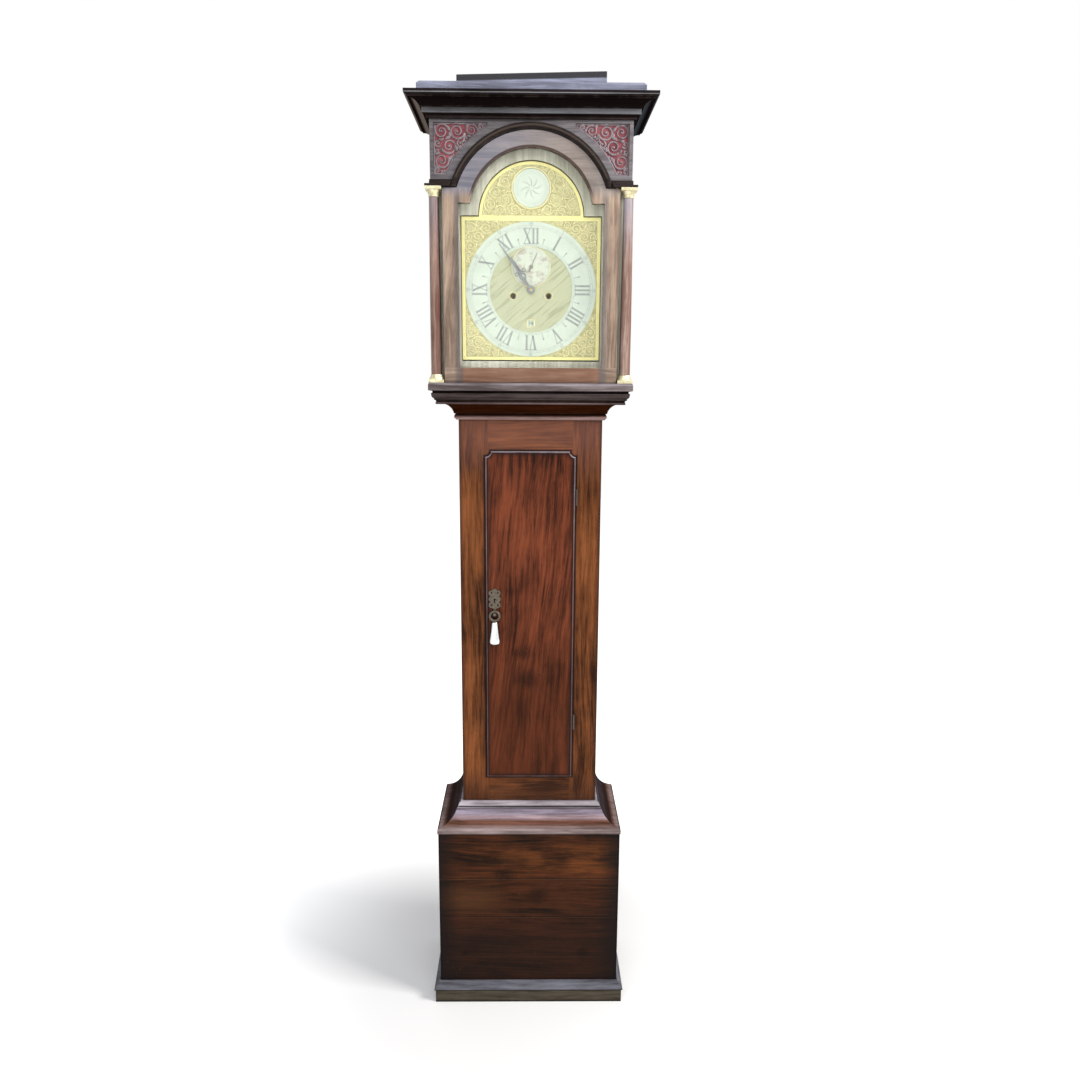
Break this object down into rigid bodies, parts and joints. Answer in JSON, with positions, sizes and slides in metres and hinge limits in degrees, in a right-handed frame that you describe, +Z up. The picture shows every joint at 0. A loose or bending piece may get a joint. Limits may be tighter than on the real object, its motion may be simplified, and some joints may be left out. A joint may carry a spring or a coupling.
{
  "type": "longcase clock",
  "caption": "Longcase clock with an arched brass dial, sliding hood, trunk door and a weight-driven striking movement.",
  "frame": {"origin": "centre of the overall box, on the floor", "axes": "+Z up, the dial faces -Y, +X to the right seen from the front"},
  "size_m": [0.524, 0.272, 2.181],
  "materials": {
    "stained_wood": "gloss",
    "hood_wood": "gloss",
    "door_veneer": "gloss",
    "hood_door_wood": "gloss",
    "fret_wood": "satin",
    "oak_carcase": "matte",
    "brass": "satin",
    "silvered_brass": "satin",
    "blued_steel": "satin",
    "steel": "satin",
    "bell_metal": "satin",
    "old_pewter": "satin",
    "door_glass": "clear",
    "red_silk": "matte",
    "gut": "satin",
    "weight_casing": "satin"
  },
  "bodies": {
    "case": {"backboard": "oak_carcase", "trunk_sides": "stained_wood", "trunk_front_frame": "stained_wood", "trunk_mouldings": "stained_wood", "base_panels": "stained_wood", "skirting": "stained_wood", "seatboard": "oak_carcase", "trunk_hinge_case_leaves": "brass", "dial_plate": "brass", "silvered_rings": "silvered_brass", "spandrel_castings": "brass", "movement_plates": "brass", "back_cock": "brass", "bell": "bell_metal", "going_gut_line": "gut", "strike_gut_line": "gut"},
    "hood": {"hood_sill": "hood_wood", "hood_sides": "hood_wood", "hood_fascia": "hood_wood", "arch_moulding": "hood_wood", "spandrel_frets": "fret_wood", "silk_panels": "red_silk", "cornice": "hood_wood", "hood_top": "hood_wood", "hood_columns": "hood_wood", "column_mounts": "brass", "dial_mask": "oak_carcase"},
    "hood_door": {"hood_door_frame": "hood_door_wood", "hood_door_glass": "door_glass", "hood_door_pivots": "brass"},
    "trunk_door": {"trunk_door": "door_veneer", "trunk_hinge_door_leaves": "brass", "door_lock": "steel", "handle_backplate": "old_pewter"},
    "lock_bolt": {"lock_bolt": "steel"},
    "drop_handle": {"drop_handle": "old_pewter"},
    "minute_hand": {"minute_hand": "blued_steel", "centre_wheel": "brass"},
    "hour_hand": {"hour_hand": "blued_steel", "hour_wheel": "brass"},
    "minute_wheel": {"minute_wheel": "brass"},
    "going_great_wheel": {"going_great_wheel": "brass"},
    "third_wheel": {"third_wheel": "brass"},
    "escape_wheel": {"escape_wheel": "brass", "seconds_hand": "blued_steel"},
    "pallets": {"pallets": "steel"},
    "date_ring": {"date_ring": "silvered_brass"},
    "pendulum": {"pendulum_rod": "steel", "pendulum_bob": "brass"},
    "going_barrel": {"going_barrel": "brass"},
    "going_weight": {"going_weight": "weight_casing"},
    "going_pulley": {"going_pulley": "brass"},
    "strike_barrel": {"strike_barrel": "brass"},
    "strike_weight": {"strike_weight": "weight_casing"},
    "strike_pulley": {"strike_pulley": "brass"},
    "strike_great_wheel": {"strike_great_wheel": "brass"},
    "pin_wheel": {"pin_wheel": "brass"},
    "locking_wheel": {"locking_wheel": "brass"},
    "fly": {"fly": "brass"},
    "hammer": {"hammer": "steel"}
  },
  "joints": [
    {"name": "hood_slide", "type": "slide", "parent": "case", "child": "hood", "axis": [0, -1, 0], "range_m": [0, 0.3]},
    {"name": "hood_door_hinge", "type": "hinge", "parent": "hood", "child": "hood_door", "pos_m": [0.183, -0.0858, 1.75], "axis": [0, 0, 1], "range_deg": [0, 100]},
    {"name": "trunk_door_hinge", "type": "hinge", "parent": "case", "child": "trunk_door", "pos_m": [0.1082, -0.0434, 1], "axis": [0, 0, 1], "range_deg": [0, 110]},
    {"name": "lock_bolt_throw", "type": "slide", "parent": "trunk_door", "child": "lock_bolt", "axis": [-1, 0, 0], "range_m": [0, 0.012]},
    {"name": "drop_handle_swing", "type": "hinge", "parent": "trunk_door", "child": "drop_handle", "pos_m": [-0.084, -0.0518, 1.0104], "axis": [-1, 0, 0], "range_deg": [0, 60]},
    {"name": "minute_hand_turn", "type": "hinge", "parent": "case", "child": "minute_hand", "pos_m": [0, -0.054, 1.7486], "axis": [0, 1, 0], "continuous": true},
    {"name": "hour_hand_turn", "type": "hinge", "parent": "case", "child": "hour_hand", "pos_m": [0, -0.044, 1.7486], "axis": [0, 1, 0], "continuous": true},
    {"name": "minute_wheel_turn", "type": "hinge", "parent": "case", "child": "minute_wheel", "pos_m": [0, -0.026, 1.7198], "axis": [0, 1, 0], "continuous": true},
    {"name": "going_great_wheel_turn", "type": "hinge", "parent": "case", "child": "going_great_wheel", "pos_m": [0.0393, 0.0355, 1.7358], "axis": [0, 1, 0], "continuous": true},
    {"name": "third_wheel_turn", "type": "hinge", "parent": "case", "child": "third_wheel", "pos_m": [0.0073, 0.016, 1.7748], "axis": [0, 1, 0], "continuous": true},
    {"name": "escape_wheel_turn", "type": "hinge", "parent": "case", "child": "escape_wheel", "pos_m": [0, 0.016, 1.7976], "axis": [0, 1, 0], "continuous": true},
    {"name": "date_ring_turn", "type": "hinge", "parent": "case", "child": "date_ring", "pos_m": [0, -0.05, 1.7486], "axis": [0, 1, 0], "continuous": true},
    {"name": "pendulum_swing", "type": "hinge", "parent": "case", "child": "pendulum", "pos_m": [0, 0.091, 1.833], "axis": [0, 1, 0], "range_deg": [-3, 3]},
    {"name": "pallets_swing", "type": "hinge", "parent": "case", "child": "pallets", "pos_m": [0, 0.023, 1.833], "axis": [0, 1, 0], "range_deg": [-3.01, 3.01]},
    {"name": "locking_wheel_turn", "type": "hinge", "parent": "case", "child": "locking_wheel", "pos_m": [-0.03199, -0.001, 1.79826], "axis": [0, 1, 0], "continuous": true},
    {"name": "fly_turn", "type": "hinge", "parent": "case", "child": "fly", "pos_m": [-0.038, 0.03, 1.81684], "axis": [0, 1, 0], "continuous": true},
    {"name": "pin_wheel_turn", "type": "hinge", "parent": "case", "child": "pin_wheel", "pos_m": [-0.04199, -0.009, 1.77435], "axis": [0, 1, 0], "continuous": true},
    {"name": "strike_great_wheel_turn", "type": "hinge", "parent": "case", "child": "strike_great_wheel", "pos_m": [-0.0393, 0.0355, 1.7358], "axis": [0, 1, 0], "continuous": true},
    {"name": "hammer_swing", "type": "hinge", "parent": "case", "child": "hammer", "pos_m": [-0.06, 0.013, 1.805], "axis": [0, 1, 0], "range_deg": [-12, 0], "stiffness_Nm_per_rad": 0.05, "springref_deg": 5.73},
    {"name": "going_weight_slide", "type": "slide", "parent": "case", "child": "going_weight", "axis": [0, 0, 1], "range_m": [-0.85, 0.34], "deforming": ["going_gut_line"]},
    {"name": "going_barrel_turn", "type": "hinge", "parent": "case", "child": "going_barrel", "pos_m": [0.0393, 0.011, 1.7358], "axis": [0, 1, 0], "range_deg": [-3806.7, 1522.68]},
    {"name": "going_pulley_turn", "type": "hinge", "parent": "going_weight", "child": "going_pulley", "pos_m": [0.0393, 0.011, 1.24], "axis": [0, 1, 0], "range_deg": [-1903.35, 761.34]},
    {"name": "strike_weight_slide", "type": "slide", "parent": "case", "child": "strike_weight", "axis": [0, 0, 1], "range_m": [-0.85, 0.34], "deforming": ["strike_gut_line"]},
    {"name": "strike_barrel_turn", "type": "hinge", "parent": "case", "child": "strike_barrel", "pos_m": [-0.0393, 0.011, 1.7358], "axis": [0, 1, 0], "range_deg": [-3806.7, 1522.68]},
    {"name": "strike_pulley_turn", "type": "hinge", "parent": "strike_weight", "child": "strike_pulley", "pos_m": [-0.0393, 0.011, 1.24], "axis": [0, 1, 0], "range_deg": [-1903.35, 761.34]}
  ],
  "couplings": [
    {"joint": "hour_hand_turn", "follows": "minute_hand_turn", "ratio": 0.083333},
    {"joint": "minute_wheel_turn", "follows": "minute_hand_turn", "ratio": -1},
    {"joint": "going_great_wheel_turn", "follows": "minute_hand_turn", "ratio": -0.083333},
    {"joint": "third_wheel_turn", "follows": "minute_hand_turn", "ratio": -7.5},
    {"joint": "escape_wheel_turn", "follows": "minute_hand_turn", "ratio": 60},
    {"joint": "date_ring_turn", "follows": "minute_hand_turn", "ratio": 0.0013441},
    {"joint": "pallets_swing", "follows": "pendulum_swing", "ratio": 1},
    {"joint": "fly_turn", "follows": "locking_wheel_turn", "ratio": -8},
    {"joint": "pin_wheel_turn", "follows": "locking_wheel_turn", "ratio": -0.125},
    {"joint": "strike_great_wheel_turn", "follows": "locking_wheel_turn", "ratio": 0.011905},
    {"joint": "going_barrel_turn", "follows": "going_weight_slide", "rad_per_m": 78.125},
    {"joint": "going_pulley_turn", "follows": "going_weight_slide", "rad_per_m": 39.062},
    {"joint": "strike_barrel_turn", "follows": "strike_weight_slide", "rad_per_m": 78.125},
    {"joint": "strike_pulley_turn", "follows": "strike_weight_slide", "rad_per_m": 39.062}
  ]
}
